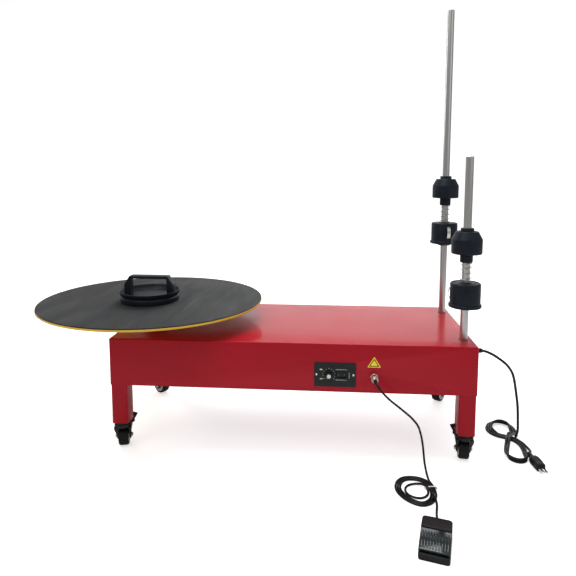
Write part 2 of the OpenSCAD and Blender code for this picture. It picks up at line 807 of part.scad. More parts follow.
// Return spring between the tray and the treadle
module pedal_spring() {
    turns = 4;
    steps = 12 * turns;
    path = [for (i = [0 : steps]) [
        5 * cos(360 * turns * i / steps), 5 * sin(360 * turns * i / steps) - 12, 5.6 + 9.6 * i / steps
    ]];
    color("silver") pedal_frame() swept(path, 0.5, 6, [0, 0, 1]);
}

// ---- Cords ----

// Snap-in bush with a tapered strain relief
module mains_gland() {
    color([0.07, 0.07, 0.07])
    translate(gland_at) rotate([0, 90, 0]) rotate_extrude($fn = 64)
        polygon([[0, -3.5], [7, -3.5], [7, -sheet], [6, -sheet], [6, 0], [9, 0], [9, 3], [6.5, 4],
                 [4.6, gland_l], [0, gland_l]]);
}

// Cord drawn from the casing's left front corner
module corner_frame() translate([left, front, 0]) children();

module mains_cord() {
    color([0.06, 0.06, 0.06]) corner_frame() {
        swept(mains_route, mains_d / 2, 8, [-1, 1, 0]);
        swept(mains_tail, mains_d / 2, 8, [0, 0, 1]);
    }
}

// Folded lead: a wide loop of three turns, crossed at the waist by a narrow one of two
module mains_hank() {
    color([0.06, 0.06, 0.06]) corner_frame() linear_extrude(14) {
        translate([1007, 182]) rotate(6) wound(10, 38, 18);
        translate([1003, 66]) rotate(-4) wound(27, 22.5, 10);
        translate([1018, 128]) circle(17, $fn = 64);
        translate([1036, 102]) square([18, 36], center = true);
    }
}

// Moulded three-pin plug lying on the floor
module mains_plug() {
    color([0.07, 0.07, 0.08])
    corner_frame() translate(mains_plug_at) rotate([0, 0, 5]) {
        translate([0, -44, 0]) rotate([-90, 0, 0]) linear_extrude(44) round_rect(22, 20, 6);
        rotate([-90, 0, 0]) cylinder(r1 = 7, r2 = 4.6, h = 23, $fn = 48);
        for (s = [-1, 1]) translate([s * 7 - 0.8, -60, -5]) cube([1.6, 17, 6.4]);
        translate([0, -62, 5]) rotate([-90, 0, 0]) cylinder(r = 2.4, h = 19, $fn = 32);
    }
}

// Knurled cable plug screwed onto the panel socket
module pedal_plug() {
    color("silver")
    translate([socket_at.x, 0, socket_at.y]) difference() {
        union() {
            bar_y(8.5, front - 20, 12);
            bar_y(7, front - 27, 8);
            bar_y(4.5, front - 30, 4);
        }
        bar_y(7, front - 8, 2);
    }
}

module pedal_cord() {
    color([0.06, 0.06, 0.06]) corner_frame() {
        swept(pedal_route, pedal_cord_d / 2, 8, [1, 1, 0]);
        swept(pedal_tail, pedal_cord_d / 2, 8, [0, 0, 1]);
    }
}

module pedal_coil() {
    color([0.06, 0.06, 0.06])
    corner_frame() translate([731, -116, 0]) rotate(12) linear_extrude(12) wound(14, 43, 22);
}

casing();
legs();
caster_stems();
fork_front_left();
fork_front_right();
fork_rear_left();
fork_rear_right();
wheel_front_left();
wheel_front_right();
wheel_rear_left();
wheel_rear_right();
brake_front_left();
brake_front_right();
disc_plate();
disc_mat();
spindle();
flange_screws();
driven_pulley();
cap_base();
cap_handle();
bearing_block();
spindle_bearings();
gear_motor();
motor_pulley();
drive_belt();
front_pole();
back_pole();
pole_sockets();
frame_bolts();
front_sleeve();
front_clamp_screw();
front_lower_hub();
front_leaf_spring();
front_coil_spring();
front_bush();
front_upper_hub();
back_sleeve();
back_clamp_screw();
back_lower_hub();
back_leaf_spring();
back_coil_spring();
back_bush();
back_upper_hub();
control_box();
panel_plate();
panel_screws();
speed_knob();
rocker_switch();
pedal_socket();
pedal_base();
pedal_treadle();
pedal_pin();
pedal_spring();
mains_gland();
mains_cord();
mains_hank();
mains_plug();
pedal_plug();
pedal_cord();
pedal_coil();
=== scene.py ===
"""Looks of the stretch-film wrapping turntable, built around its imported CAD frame.

Metres, in the frame's own axes. Builders take millimetres in a local frame that place() sets,
and every place comes from the frame: a node's box or a joint's pivot.
"""
import json
import math

import bmesh
import bpy
from mathutils import Matrix, Vector


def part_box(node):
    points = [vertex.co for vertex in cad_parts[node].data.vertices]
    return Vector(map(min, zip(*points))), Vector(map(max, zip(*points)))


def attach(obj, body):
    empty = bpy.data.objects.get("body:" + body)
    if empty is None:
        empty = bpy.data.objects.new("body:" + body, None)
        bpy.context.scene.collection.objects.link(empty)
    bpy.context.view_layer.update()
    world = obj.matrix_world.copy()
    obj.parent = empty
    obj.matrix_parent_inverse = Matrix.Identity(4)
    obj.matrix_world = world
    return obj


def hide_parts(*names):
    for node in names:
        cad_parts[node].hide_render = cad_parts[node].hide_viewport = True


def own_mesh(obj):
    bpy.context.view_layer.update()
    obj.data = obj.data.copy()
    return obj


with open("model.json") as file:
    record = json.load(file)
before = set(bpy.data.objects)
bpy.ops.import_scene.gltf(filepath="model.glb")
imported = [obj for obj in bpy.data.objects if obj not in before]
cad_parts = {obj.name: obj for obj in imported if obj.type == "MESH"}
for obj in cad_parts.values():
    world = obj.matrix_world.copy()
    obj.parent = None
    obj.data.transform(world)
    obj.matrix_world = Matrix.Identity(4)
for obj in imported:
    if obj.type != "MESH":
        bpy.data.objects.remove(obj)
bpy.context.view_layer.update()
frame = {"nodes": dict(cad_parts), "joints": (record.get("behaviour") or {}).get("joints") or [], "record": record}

MM = 0.001
# Edges over this many degrees stay sharp
SHARP = 35.0
scene = bpy.context.scene
joints = {j["name"]: j for j in frame["joints"]}
bodies_of = frame["record"]["behaviour"]["bodies"]
body_of_node = {node: body for body, nodes in bodies_of.items() for node in nodes}


def pivot(joint):
    return Vector(joints[joint]["pos_m"])


def spin_axis(joint):
    return Vector(joints[joint]["axis"])


# ---- Camera ----

def make_camera():
    data = bpy.data.cameras.new("camera")
    camera = bpy.data.objects.new("camera", data)
    scene.collection.objects.link(camera)
    camera.location = (0.212705, -1.30875, 0.69241)
    camera.rotation_euler = (math.pi / 2 - 0.1058, 0.0, 0.0791)
    data.sensor_width = 36
    data.lens = 33.196
    data.shift_y = -0.1003
    data.clip_end = 100
    scene.camera = camera


make_camera()

# ---- Materials ----


def node_of(tree, kind, **inputs):
    """A new shader node with its inputs set by name, with _ for a space."""
    made = tree.nodes.new(kind)
    for name, value in inputs.items():
        made.inputs[name.replace("_", " ")].default_value = value
    return made


def surface(name, colour, roughness, metallic=0.0, **sockets):
    """A Principled material; the other sockets are set by name, with _ for a space."""
    made = bpy.data.materials.new(name)
    made.use_nodes = True
    made.diffuse_color = (*colour, 1)
    shader = made.node_tree.nodes["Principled BSDF"]
    shader.inputs["Base Color"].default_value = (*colour, 1)
    shader.inputs["Roughness"].default_value = roughness
    shader.inputs["Metallic"].default_value = metallic
    for socket, value in sockets.items():
        shader.inputs[socket.replace("_", " ")].default_value = value
    return made


def object_space(tree, stretch=(1, 1, 1)):
    """Object coordinates, scaled by stretch."""
    coordinates = tree.nodes.new("ShaderNodeTexCoord")
    mapping = tree.nodes.new("ShaderNodeMapping")
    mapping.inputs["Scale"].default_value = stretch
    tree.links.new(coordinates.outputs["Object"], mapping.inputs["Vector"])
    return mapping.outputs["Vector"]


def noise(tree, scale, detail=4.0, stretch=(1, 1, 1)):
    made = node_of(tree, "ShaderNodeTexNoise", Scale=scale, Detail=detail)
    tree.links.new(object_space(tree, stretch), made.inputs["Vector"])
    return made.outputs["Fac"]


def ramp(tree, factor, low, high, start=0.3, end=0.7):
    """Maps a factor from start..end to low..high."""
    made = node_of(tree, "ShaderNodeMapRange", From_Min=start, From_Max=end, To_Min=low, To_Max=high)
    tree.links.new(factor, made.inputs["Value"])
    return made.outputs["Result"]


def vary_roughness(material, low, high, scale=60.0, stretch=(1, 1, 1)):
    tree = material.node_tree
    shader = tree.nodes["Principled BSDF"]
    tree.links.new(ramp(tree, noise(tree, scale, 6.0, stretch), low, high), shader.inputs["Roughness"])


def vary_colour(material, other, scale=8.0, amount=1.0, stretch=(1, 1, 1), start=0.35, end=0.65):
    """Mixes the base colour with another by a soft noise."""
    tree = material.node_tree
    shader = tree.nodes["Principled BSDF"]
    mix = tree.nodes.new("ShaderNodeMix")
    mix.data_type = "RGBA"
    source = shader.inputs["Base Color"]
    if source.is_linked:
        tree.links.new(source.links[0].from_socket, mix.inputs[6])
    else:
        mix.inputs[6].default_value = source.default_value
    mix.inputs[7].default_value = (*other, 1)
    tree.links.new(ramp(tree, noise(tree, scale, 5.0, stretch), 0.0, amount, start, end), mix.inputs[0])
    tree.links.new(mix.outputs[2], source)


def worn_and_highlit_edges(material, bright, amount=0.5):
    """Lightens convex edges: partly wear from handling, partly a painted highlight."""
    tree = material.node_tree
    shader = tree.nodes["Principled BSDF"]
    geometry = tree.nodes.new("ShaderNodeNewGeometry")
    mix = tree.nodes.new("ShaderNodeMix")
    mix.data_type = "RGBA"
    source = shader.inputs["Base Color"]
    if source.is_linked:
        tree.links.new(source.links[0].from_socket, mix.inputs[6])
    else:
        mix.inputs[6].default_value = source.default_value
    mix.inputs[7].default_value = (*bright, 1)
    tree.links.new(ramp(tree, geometry.outputs["Pointiness"], 0.0, amount, 0.53, 0.62), mix.inputs[0])
    tree.links.new(mix.outputs[2], source)


def bump(material, height, depth, strength=1.0, edge=0.0):
    """Bump of that depth in metres; edge is the radius to which the shader rounds sharp edges."""
    tree = material.node_tree
    made = node_of(tree, "ShaderNodeBump", Distance=depth, Strength=strength)
    tree.links.new(height, made.inputs["Height"])
    if edge:
        rounded_edge = node_of(tree, "ShaderNodeBevel", Radius=edge)
        rounded_edge.samples = 4
        tree.links.new(rounded_edge.outputs["Normal"], made.inputs["Normal"])
    tree.links.new(made.outputs["Normal"], tree.nodes["Principled BSDF"].inputs["Normal"])


def paint(name, colour, roughness=0.28, shade=None, edge=0.0006, **sockets):
    """Enamel on sheet steel, with faint orange peel and uneven gloss."""
    sockets.setdefault("Specular_IOR_Level", 0.3)
    made = surface(name, colour, roughness, **sockets)
    vary_colour(made, shade or tuple(c * 0.82 for c in colour), 5.0, 0.7)
    # lighter convex edges: wear and a painted highlight
    worn_and_highlit_edges(made, tuple(min(1, c * 1.35 + 0.02) for c in colour), 0.35)
    vary_roughness(made, roughness * 0.8, roughness * 1.25, 14.0)
    bump(made, noise(made.node_tree, 320.0, 2.0), 0.00006, 0.5, edge)
    return made


def plastic(name, colour, roughness=0.45, grain=1400.0, depth=0.00005, edge=0.0004, **sockets):
    """Moulded plastic with a fine spark-eroded grain."""
    sockets.setdefault("Specular_IOR_Level", 0.28)
    made = surface(name, colour, roughness, **sockets)
    vary_colour(made, tuple(c * 1.5 + 0.004 for c in colour), 30.0, 0.6)
    # lighter convex edges: wear and a painted highlight
    worn_and_highlit_edges(made, tuple(c * 2.2 + 0.015 for c in colour), 0.4)
    vary_roughness(made, roughness * 0.85, roughness * 1.2, 90.0)
    bump(made, noise(made.node_tree, grain, 3.0), depth, 0.6, edge)
    return made


def metal(name, colour, roughness=0.3, lines=(1, 1, 1), scale=500.0, uneven=1.0, **sockets):
    """Bare metal whose fine tooling lines run across the stretched axis."""
    made = surface(name, colour, roughness, 1.0, **sockets)
    vary_colour(made, tuple(c * (1 - 0.22 * uneven) for c in colour), 40.0, 0.5)
    vary_roughness(made, roughness * (1 - 0.25 * uneven), roughness * (1 + 0.35 * uneven), scale, lines)
    bump(made, noise(made.node_tree, scale, 3.0, lines), 0.00003, 0.45 * uneven, 0.0004)
    return made


def mat_rubber():
    """Black ribbed matting: a faint painted sheen of lighter streaks across the rolls, and a fine darker random
    tone.
    """
    made = surface("ribbed_rubber", (0.015, 0.0155, 0.0165), 0.5, Specular_IOR_Level=0.2)
    # painted sheen: lighter streaks stretched along the ribs, standing in for their highlights
    vary_colour(made, (0.028, 0.029, 0.031), 3.0, 0.9, (1.0, 0.25, 1.0))
    vary_colour(made, (0.011, 0.0115, 0.0125), 900.0, 0.7)
    vary_roughness(made, 0.42, 0.62, 20.0, (1.0, 0.2, 1.0))
    bump(made, noise(made.node_tree, 1600.0, 3.0), 0.00008, 0.6)
    return made


def nylon():
    """Navy-black turned nylon with faint lathe rings."""
    made = surface("hub_nylon", (0.005, 0.0085, 0.014), 0.42, Specular_IOR_Level=0.18)
    vary_colour(made, (0.01, 0.016, 0.024), 24.0, 0.8)
    # lighter convex edges: wear and a painted highlight
    worn_and_highlit_edges(made, (0.07, 0.08, 0.095), 0.5)
    vary_roughness(made, 0.34, 0.52, 700.0, (0.05, 0.05, 1.0))
    bump(made, noise(made.node_tree, 900.0, 2.0, (0.04, 0.04, 1.0)), 0.00005, 0.5, 0.0003)
    return made


RED = paint("red_enamel", (0.37, 0.003, 0.0125), 0.2, (0.32, 0.003, 0.0135), Specular_IOR_Level=0.16)
YELLOW = paint("yellow_enamel", (0.78, 0.45, 0.035), 0.25)
BLACK_STEEL = paint("black_coated_steel", (0.0065, 0.0065, 0.0075), 0.26, Specular_IOR_Level=0.22)
CHARCOAL = paint("charcoal_panel", (0.0092, 0.0128, 0.0128), 0.45, edge=0.0003, Specular_IOR_Level=0.2)
GREY_MOTOR = paint("motor_grey", (0.075, 0.085, 0.1), 0.45)
CAST = plastic("cast_housing", (0.19, 0.195, 0.2), 0.55, 500.0, 0.0003, 0.0012, Metallic=0.7)
MAT = mat_rubber()
CAP = plastic("cap_plastic", (0.0065, 0.009, 0.0135), 0.4, 1100.0, Specular_IOR_Level=0.2)
NYLON = nylon()
MOULDED = plastic("black_moulding", (0.007, 0.007, 0.008), 0.42, Specular_IOR_Level=0.2)
KNOB_BLACK = plastic("knob_plastic", (0.009, 0.009, 0.0095), 0.3)
TREADLE = plastic("treadle_plastic", (0.012, 0.0185, 0.021), 0.13, 900.0, 0.00002, Coat_Weight=0.5,
                  Coat_Roughness=0.06)
TYRE = plastic("tyre_rubber", (0.0055, 0.0055, 0.006), 0.42, 700.0, 0.00008, Specular_IOR_Level=0.18)
RIM = plastic("rim_grey", (0.55, 0.55, 0.53), 0.4)
CORD = plastic("cord_sheath", (0.006, 0.006, 0.0065), 0.34, 900.0, 0.00004, 0.0, Specular_IOR_Level=0.2)
TIE = plastic("tie_wrap", (0.012, 0.012, 0.013), 0.35)
CLEAR_TIE = plastic("white_tie", (0.62, 0.62, 0.6), 0.35)
BELT = plastic("belt_rubber", (0.015, 0.015, 0.015), 0.6)
POLE = metal("pole_steel", (0.5, 0.49, 0.475), 0.3, (0.3, 0.3, 1.0), 300.0, 0.3, Anisotropic=0.4)
STEEL = metal("zinc_steel", (0.5, 0.5, 0.49), 0.34)
TURNED = metal("turned_steel", (0.48, 0.48, 0.47), 0.3, (0.05, 0.05, 1.0), 900.0)
SPRING = metal("spring_steel", (0.62, 0.61, 0.58), 0.22)
NICKEL = metal("nickel_plate", (0.66, 0.64, 0.58), 0.2)
MARK = plastic("dial_marks", (0.42, 0.46, 0.3), 0.5)
PALE_MARK = plastic("pale_marks", (0.2, 0.22, 0.21), 0.5)
LABEL = plastic("label_yellow", (0.86, 0.62, 0.03), 0.35)
LABEL_EDGE = plastic("label_border", (0.12, 0.075, 0.008), 0.35)

# ---- Mesh building ----


def place(origin, z_axis=(0, 0, 1), x_axis=None):
    """Matrix from a local frame in millimetres to the row frame, z along z_axis."""
    z = Vector(z_axis).normalized()
    x = Vector(x_axis) if x_axis is not None else (Vector((0, 0, 1)) if abs(z.z) < 0.9 else Vector((1, 0, 0)))
    y = z.cross(x).normalized()
    x = y.cross(z)
    turn = Matrix((x, y, z)).transposed().to_4x4()
    return Matrix.Translation(Vector(origin)) @ turn @ Matrix.Scale(MM, 4)


def piece(name, bm, material, body, matrix=Matrix.Identity(4), sharp=SHARP):
    """Turns a bmesh into a piece with smooth faces and sharp edges over that angle."""
    bmesh.ops.remove_doubles(bm, verts=bm.verts, dist=1e-6)
    bmesh.ops.recalc_face_normals(bm, faces=bm.faces)
    bm.transform(matrix)
    mesh = bpy.data.meshes.new(name)
    bm.to_mesh(mesh)
    bm.free()
    mesh.polygons.foreach_set("use_smooth", [True] * len(mesh.polygons))
    mesh.set_sharp_from_angle(angle=math.radians(sharp))
    mesh.materials.append(material)
    made = bpy.data.objects.new(name, mesh)
    scene.collection.objects.link(made)
    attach(made, body)
    return made


def stand_in(name, bm, material, node, matrix=Matrix.Identity(4), sharp=SHARP):
    """A piece that replaces a CAD node and takes its body."""
    made = piece(name, bm, material, body_of_node[node], matrix, sharp)
    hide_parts(node)
    return made


def rounded(points, closed=True, steps=5):
    """An outline whose points (a, b, radius) are turned into arcs; no radius means a sharp corner."""
    out = []
    for i, p in enumerate(points):
        here = Vector(p[:2])
        radius = p[2] if len(p) > 2 else 0
        if not radius or (not closed and i in (0, len(points) - 1)):
            out.append(here)
            continue
        before = (Vector(points[i - 1][:2]) - here).normalized()
        after = (Vector(points[(i + 1) % len(points)][:2]) - here).normalized()
        half = before.angle(after) / 2
        if half > 1.55:
            out.append(here)
            continue
        centre = here + (before + after).normalized() * radius / math.sin(half)
        start = here + before * radius / math.tan(half) - centre
        swing = start.angle_signed(here + after * radius / math.tan(half) - centre)
        for k in range(steps + 1):
            out.append(centre + Matrix.Rotation(-swing * k / steps, 2) @ start)
    return out


def loft(bm, rings, closed_rings=True, caps=(True, True), loop=False):
    """Joins rings of equal length with quads; a ring of one point is a tip."""
    made = [[bm.verts.new(p) for p in ring] for ring in rings]
    pairs = list(zip(made, made[1:]))
    if loop:
        pairs.append((made[-1], made[0]))
    for a, b in pairs:
        n = max(len(a), len(b))
        for k in range(n if closed_rings else n - 1):
            corners = [a[k % len(a)], a[(k + 1) % len(a)], b[(k + 1) % len(b)], b[k % len(b)]]
            corners = list(dict.fromkeys(corners))
            if len(corners) > 2:
                bm.faces.new(corners)
    for ring, wanted in ((made[0], caps[0]), (made[-1], caps[1])):
        if wanted and len(ring) > 2 and not loop:
            bm.faces.new(ring)
    return bm


def lathe(profile, segments=96, loop=False, bm=None):
    """Solid of revolution about z. The profile runs from axis to axis, or round with loop."""
    rings = []
    for r, z in profile:
        if r < 1e-6:
            rings.append([Vector((0, 0, z))])
        else:
            rings.append([Vector((r * math.cos(a), r * math.sin(a), z))
                          for a in (2 * math.pi * k / segments for k in range(segments))])
    return loft(bm or bmesh.new(), rings, caps=(False, False), loop=loop)


def prism(outline, low, high, bevel=0.0, bm=None, segments=3):
    """Extrudes an outline along z and rounds the edges of both ends."""
    bm = bm or bmesh.new()
    old = set(bm.verts)
    bottom = [bm.verts.new((x, y, low)) for x, y in outline]
    face = bm.faces.new(bottom)
    raised = bmesh.ops.extrude_face_region(bm, geom=[face])["geom"]
    bmesh.ops.translate(bm, verts=[v for v in raised if isinstance(v, bmesh.types.BMVert)],
                        vec=(0, 0, high - low))
    if bevel:
        ends = [e for e in bm.edges if not (set(e.verts) & old)
                and abs(e.verts[0].co.z - e.verts[1].co.z) < 1e-6]
        bmesh.ops.bevel(bm, geom=ends, offset=bevel, segments=segments, profile=0.5, affect="EDGES")
    return bm


def box_outline(x0, x1, y0, y1, radius):
    return rounded([(x0, y0, radius), (x1, y0, radius), (x1, y1, radius), (x0, y1, radius)])


def block(x0, x1, y0, y1, z0, z1, radius=0.4, bm=None):
    """A box with all edges rounded."""
    return prism(box_outline(x0, x1, y0, y1, radius), z0, z1, radius * 0.8, bm)


def swept(points, radius, sides=12):
    """Round tube along points."""
    points = [Vector(p) for p in points]
    rings = []
    normal = None
    for i, p in enumerate(points):
        along = (points[min(i + 1, len(points) - 1)] - points[max(i - 1, 0)]).normalized()
        if normal is None:
            normal = along.orthogonal().normalized()
        normal = (normal - along * normal.dot(along)).normalized()
        side = along.cross(normal)
        rings.append([p + radius * (math.cos(a) * normal + math.sin(a) * side)
                      for a in (2 * math.pi * k / sides for k in range(sides))])
    return loft(bmesh.new(), rings)


def hexagon(radius):
    return [(radius * math.cos(a), radius * math.sin(a)) for a in (math.radians(60 * k) for k in range(6))]


def merged(bm, other, matrix=Matrix.Identity(4)):
    """Adds another bmesh to bm."""
    other.transform(matrix)
    mesh = bpy.data.meshes.new("part")
    other.to_mesh(mesh)
    bm.from_mesh(mesh)
    bpy.data.meshes.remove(mesh)
    other.free()
    return bm


def cut(obj, *cutters):
    """Subtracts cutter bmeshes from obj for good."""
    for bm in cutters:
        bmesh.ops.recalc_face_normals(bm, faces=bm.faces)
        mesh = bpy.data.meshes.new("cutter")
        bm.to_mesh(mesh)
        bm.free()
        tool = bpy.data.objects.new("cutter", mesh)
        scene.collection.objects.link(tool)
        modifier = obj.modifiers.new("cut", "BOOLEAN")
        modifier.object = tool
        modifier.solver = "EXACT"
        bpy.context.view_layer.update()
        evaluated = obj.evaluated_get(bpy.context.evaluated_depsgraph_get())
        result = bpy.data.meshes.new_from_object(evaluated)
        obj.modifiers.clear()
        obj.data = result
        bpy.data.objects.remove(tool)
        bpy.data.meshes.remove(mesh)
    obj.data.polygons.foreach_set("use_smooth", [True] * len(obj.data.polygons))
    obj.data.set_sharp_from_angle(angle=math.radians(SHARP))


def carry(material, *nodes):
    """CAD nodes whose shape is right: they only get their material and smooth rounds."""
    for node in nodes:
        obj = frame["nodes"][node]
        obj.data.materials.clear()
        obj.data.materials.append(material)
        obj.data.polygons.foreach_set("use_smooth", [True] * len(obj.data.polygons))
        split = obj.modifiers.new("sharp_edges", "EDGE_SPLIT")
        split.split_angle = math.radians(SHARP)


# ---- Places ----

# The casing's left front corner on the floor; lengths from it are in millimetres
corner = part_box("casing")[0]


def spot(x, y, z):
    return Vector((corner.x + x * MM, corner.y + y * MM, z * MM))


TABLE_L, TABLE_W, TABLE_H = 890, 380, 290
SHEET = 1.5
UNDER = TABLE_H - SHEET
APRON_LOW = TABLE_H - 118
PANEL_MID = 215

# ---- Cords ----

MAINS_D = 6.5
PEDAL_D = 5.0


def catmull(points, steps=6):
    """A smooth line through the points."""
    points = [Vector(p) for p in points]
    out = []
    for i in range(len(points) - 1):
        a, b = points[max(i - 1, 0)], points[i]
        c, d = points[i + 1], points[min(i + 2, len(points) - 1)]
        for k in range(steps):
            t = k / steps
            out.append(0.5 * (2 * b + (c - a) * t + (2 * a - 5 * b + 4 * c - d) * t * t
                              + (3 * b - a - 3 * c + d) * t ** 3))
    return out + [points[-1]]


def wind(base, count, pitch, floor, last, side=1):
    """Turns of a cord: each point of the base turn is (x, y, lift, lean in degrees, step), where lean
    tips the next turns from beside it to above it, and step is the share of the way to the next turn."""
    out = []
    for turn in range(count):
        for i, (x, y, lift, lean, step) in enumerate(base[:last if turn == count - 1 else None]):
            ahead, behind = base[(i + 1) % len(base)], base[i - 1]
            across = side * Vector((behind[1] - ahead[1], ahead[0] - behind[0])).normalized()
            offset = pitch * (turn + step)
            flat = offset * math.cos(math.radians(lean))
            out.append((x + across.x * flat, y + across.y * flat,
                        floor + lift + offset * math.sin(math.radians(lean))))
    return out


def cord_piece(name, points, diameter, nodes):
    """A free cord along the points, in millimetres from the casing's corner."""
    line = [spot(p.x, p.y, max(p.z, diameter / 2 + 0.1)) for p in catmull(points)]
    curve = bpy.data.curves.new(name, "CURVE")
    curve.dimensions = "3D"
    curve.bevel_depth = diameter / 2 * MM
    curve.bevel_resolution = 4
    curve.use_fill_caps = True
    spline = curve.splines.new("POLY")
    spline.points.add(len(line) - 1)
    for point, place_at in zip(spline.points, line):
        point.co = (*place_at, 1)
    curve.materials.append(CORD)
    made = bpy.data.objects.new(name, curve)
    scene.collection.objects.link(made)
    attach(made, "root")
    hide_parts(*nodes)
    return made


# Moulded three-pin plug, its strain relief and its pins
plug_at = place(spot(1033, 28, 10), (math.sin(math.radians(5)), -math.cos(math.radians(5)), 0), (0, 0, 1))
bm = bmesh.new()
rings = []
for z, w, h, r in ((-1, 13, 12, 5.5), (0, 16, 14, 6), (3, 20, 18, 6), (10, 22, 20, 6), (36, 22, 20, 6),
                   (42, 21.4, 19.4, 5.5), (43.4, 20, 18, 5), (44, 17.5, 15.5, 4.5)):
    outline = box_outline(-h / 2, h / 2, -w / 2, w / 2, r)
    rings.append([Vector((a.x, a.y, z)) for a in outline])
loft(bm, rings)
for k in range(5):
    prism(box_outline(-9.9, 10.4, -11.4, 11.4, 6), 12 + 4 * k, 13.6 + 4 * k, 0.5, bm)
mains_plug = stand_in("mains_plug_body", bm, MOULDED, "mains_plug", plug_at)
bm = lathe(rounded([(0, 1), (5.6, 1), (5.6, -4, 0.8), (4.4, -22, 0.6), (0, -22)], False), 40)
for k in range(5):
    lathe(rounded([(0, -5 - 3.4 * k), (6.4 - 0.3 * k, -5 - 3.4 * k, 0.5), (6.4 - 0.3 * k, -7 - 3.4 * k, 0.5),
                   (0, -7 - 3.4 * k)], False), 40, bm=bm)
plug_boot = piece("mains_plug_boot", bm, MOULDED, "root", plug_at)
bm = bmesh.new()
for side in (-7, 7):
    prism(box_outline(-5, 1.4, side - 0.8, side + 0.8, 0.5), 42, 60, 0.4, bm)
lathe(rounded([(0, 42), (2.4, 42), (2.4, 61.4, 1.6), (0, 62)], False), 24, bm=bm)
plug_pins = piece("mains_plug_pins", bm, NICKEL, "root", plug_at)

# Snap-in bush with a ridged strain relief
gland_at = place(spot(890, 52, 266), (1, 0, 0), (0, 0, 1))
bm = lathe(rounded([(0, -3.5), (6.8, -3.5, 0.5), (6.8, -1.5), (5.9, -1.5), (5.9, 0), (9, 0, 0.5), (9, 3, 0.8),
                    (6.5, 4, 0.5), (4.6, 22, 0.6), (0, 22)], False), 48)
for k in range(4):
    lathe(rounded([(0, 5.5 + 3.8 * k), (6.9 - 0.35 * k, 5.5 + 3.8 * k, 0.5),
                   (6.9 - 0.35 * k, 7.6 + 3.8 * k, 0.5), (0, 7.6 + 3.8 * k)], False), 48, bm=bm)
mains_gland = stand_in("mains_gland_relief", bm, MOULDED, "mains_gland", gland_at)

mains_turn = [
    (1040, 162, 0, 0, 0), (1043, 181, 0, 15, 0), (1042, 200, 0, 35, 0), (1035, 215, 0, 45, 0),
    (1022, 226, 0, 45, 0), (1005, 228, 0, 40, 0), (987, 218, 0, 35, 0), (975, 201, 0, 30, 0),
    (969, 180, 0, 30, 0), (973, 161, 0, 20, 0), (985, 146, 0, 0, 0), (1002, 137, 0, 0, 0),
    (1018, 126, 0, 0, 0), (1026, 111, 0, 0, 0), (1028, 95, 0, 0, 0), (1027, 77, 0, 10, 0),
    (1024, 59, 0, 35, 0), (1021.5, 38.5, 0, 70, 0), (1018.5, 28.5, 0, 85, 0), (1011.3, 21.3, 0, 90, 0),
    (1001.5, 18.5, 0, 90, 0), (991.7, 21.3, 0, 90, 0), (984.5, 28.5, 0, 85, 0), (981.7, 38.5, 0, 70, 0),
    (984, 56, 0, 40, 0), (991, 76, 0, 15, 0), (998, 94, 1, 0, 0), (1006, 112, 6.7, 0, 0.1),
    (1016, 129, 6.8, 0, 0.4), (1026, 145, 6, 0, 0.8),
]
mains_line = [
    (911, 52, 266), (924, 54, 262), (940, 57, 254), (956, 61, 243), (971, 66, 231),
    (984, 72, 217), (994, 78, 201), (1001, 84, 183), (1007, 91, 162), (1013, 98, 138),
    (1019, 105, 112), (1024, 113, 84), (1028, 121, 58), (1032, 130, 36), (1036, 143, 17),
] + wind(mains_turn, 3, 6.7, 3.3, 14) + [
    (1043, 93, 3.3), (1044, 78, 4.5), (1042, 66, 7), (1037.5, 57, 9.5), (1034.5, 50, 10),
]
cord_piece("mains_lead", mains_line, MAINS_D, ("mains_cord", "mains_hank"))

# Threaded panel socket and the knurled cable plug on it
socket_at = place(spot(649, 0, 212), (0, -1, 0), (0, 0, 1))
bm = lathe(rounded([(0, -17), (6, -17), (6, 0), (8.6, 0), (8.6, 2.6, 0.5), (7.4, 3), (7, 8), (0, 8)], False),
           48)
prism(hexagon(8.7), 0.2, 2.9, 0.4, bm)
stand_in("pedal_socket_nut", bm, NICKEL, "pedal_socket", socket_at)


def knurled(bm, radius, low, high, teeth=36, depth=0.45):
    outline = []
    for k in range(teeth * 2):
        r = radius - (depth if k % 2 else 0)
        outline.append((r * math.cos(math.pi * k / teeth), r * math.sin(math.pi * k / teeth)))
    return prism(outline, low, high, 0.35, bm, 1)


bm = lathe(rounded([(0, 8), (7.9, 8), (7.9, 19.5, 0.5), (7, 20), (7, 25.5, 0.8), (5.4, 27, 0.5), (0, 27)],
                   False), 64)
knurled(bm, 8.5, 9.4, 18)
pedal_plug = stand_in("pedal_plug_ring", bm, NICKEL, "pedal_plug", socket_at)
bm = lathe(rounded([(0, 24), (5, 24), (5, 27), (4.6, 30), (3.7, 38, 0.6), (0, 38)], False), 40)
pedal_boot = piece("pedal_plug_boot", bm, MOULDED, "root", socket_at)

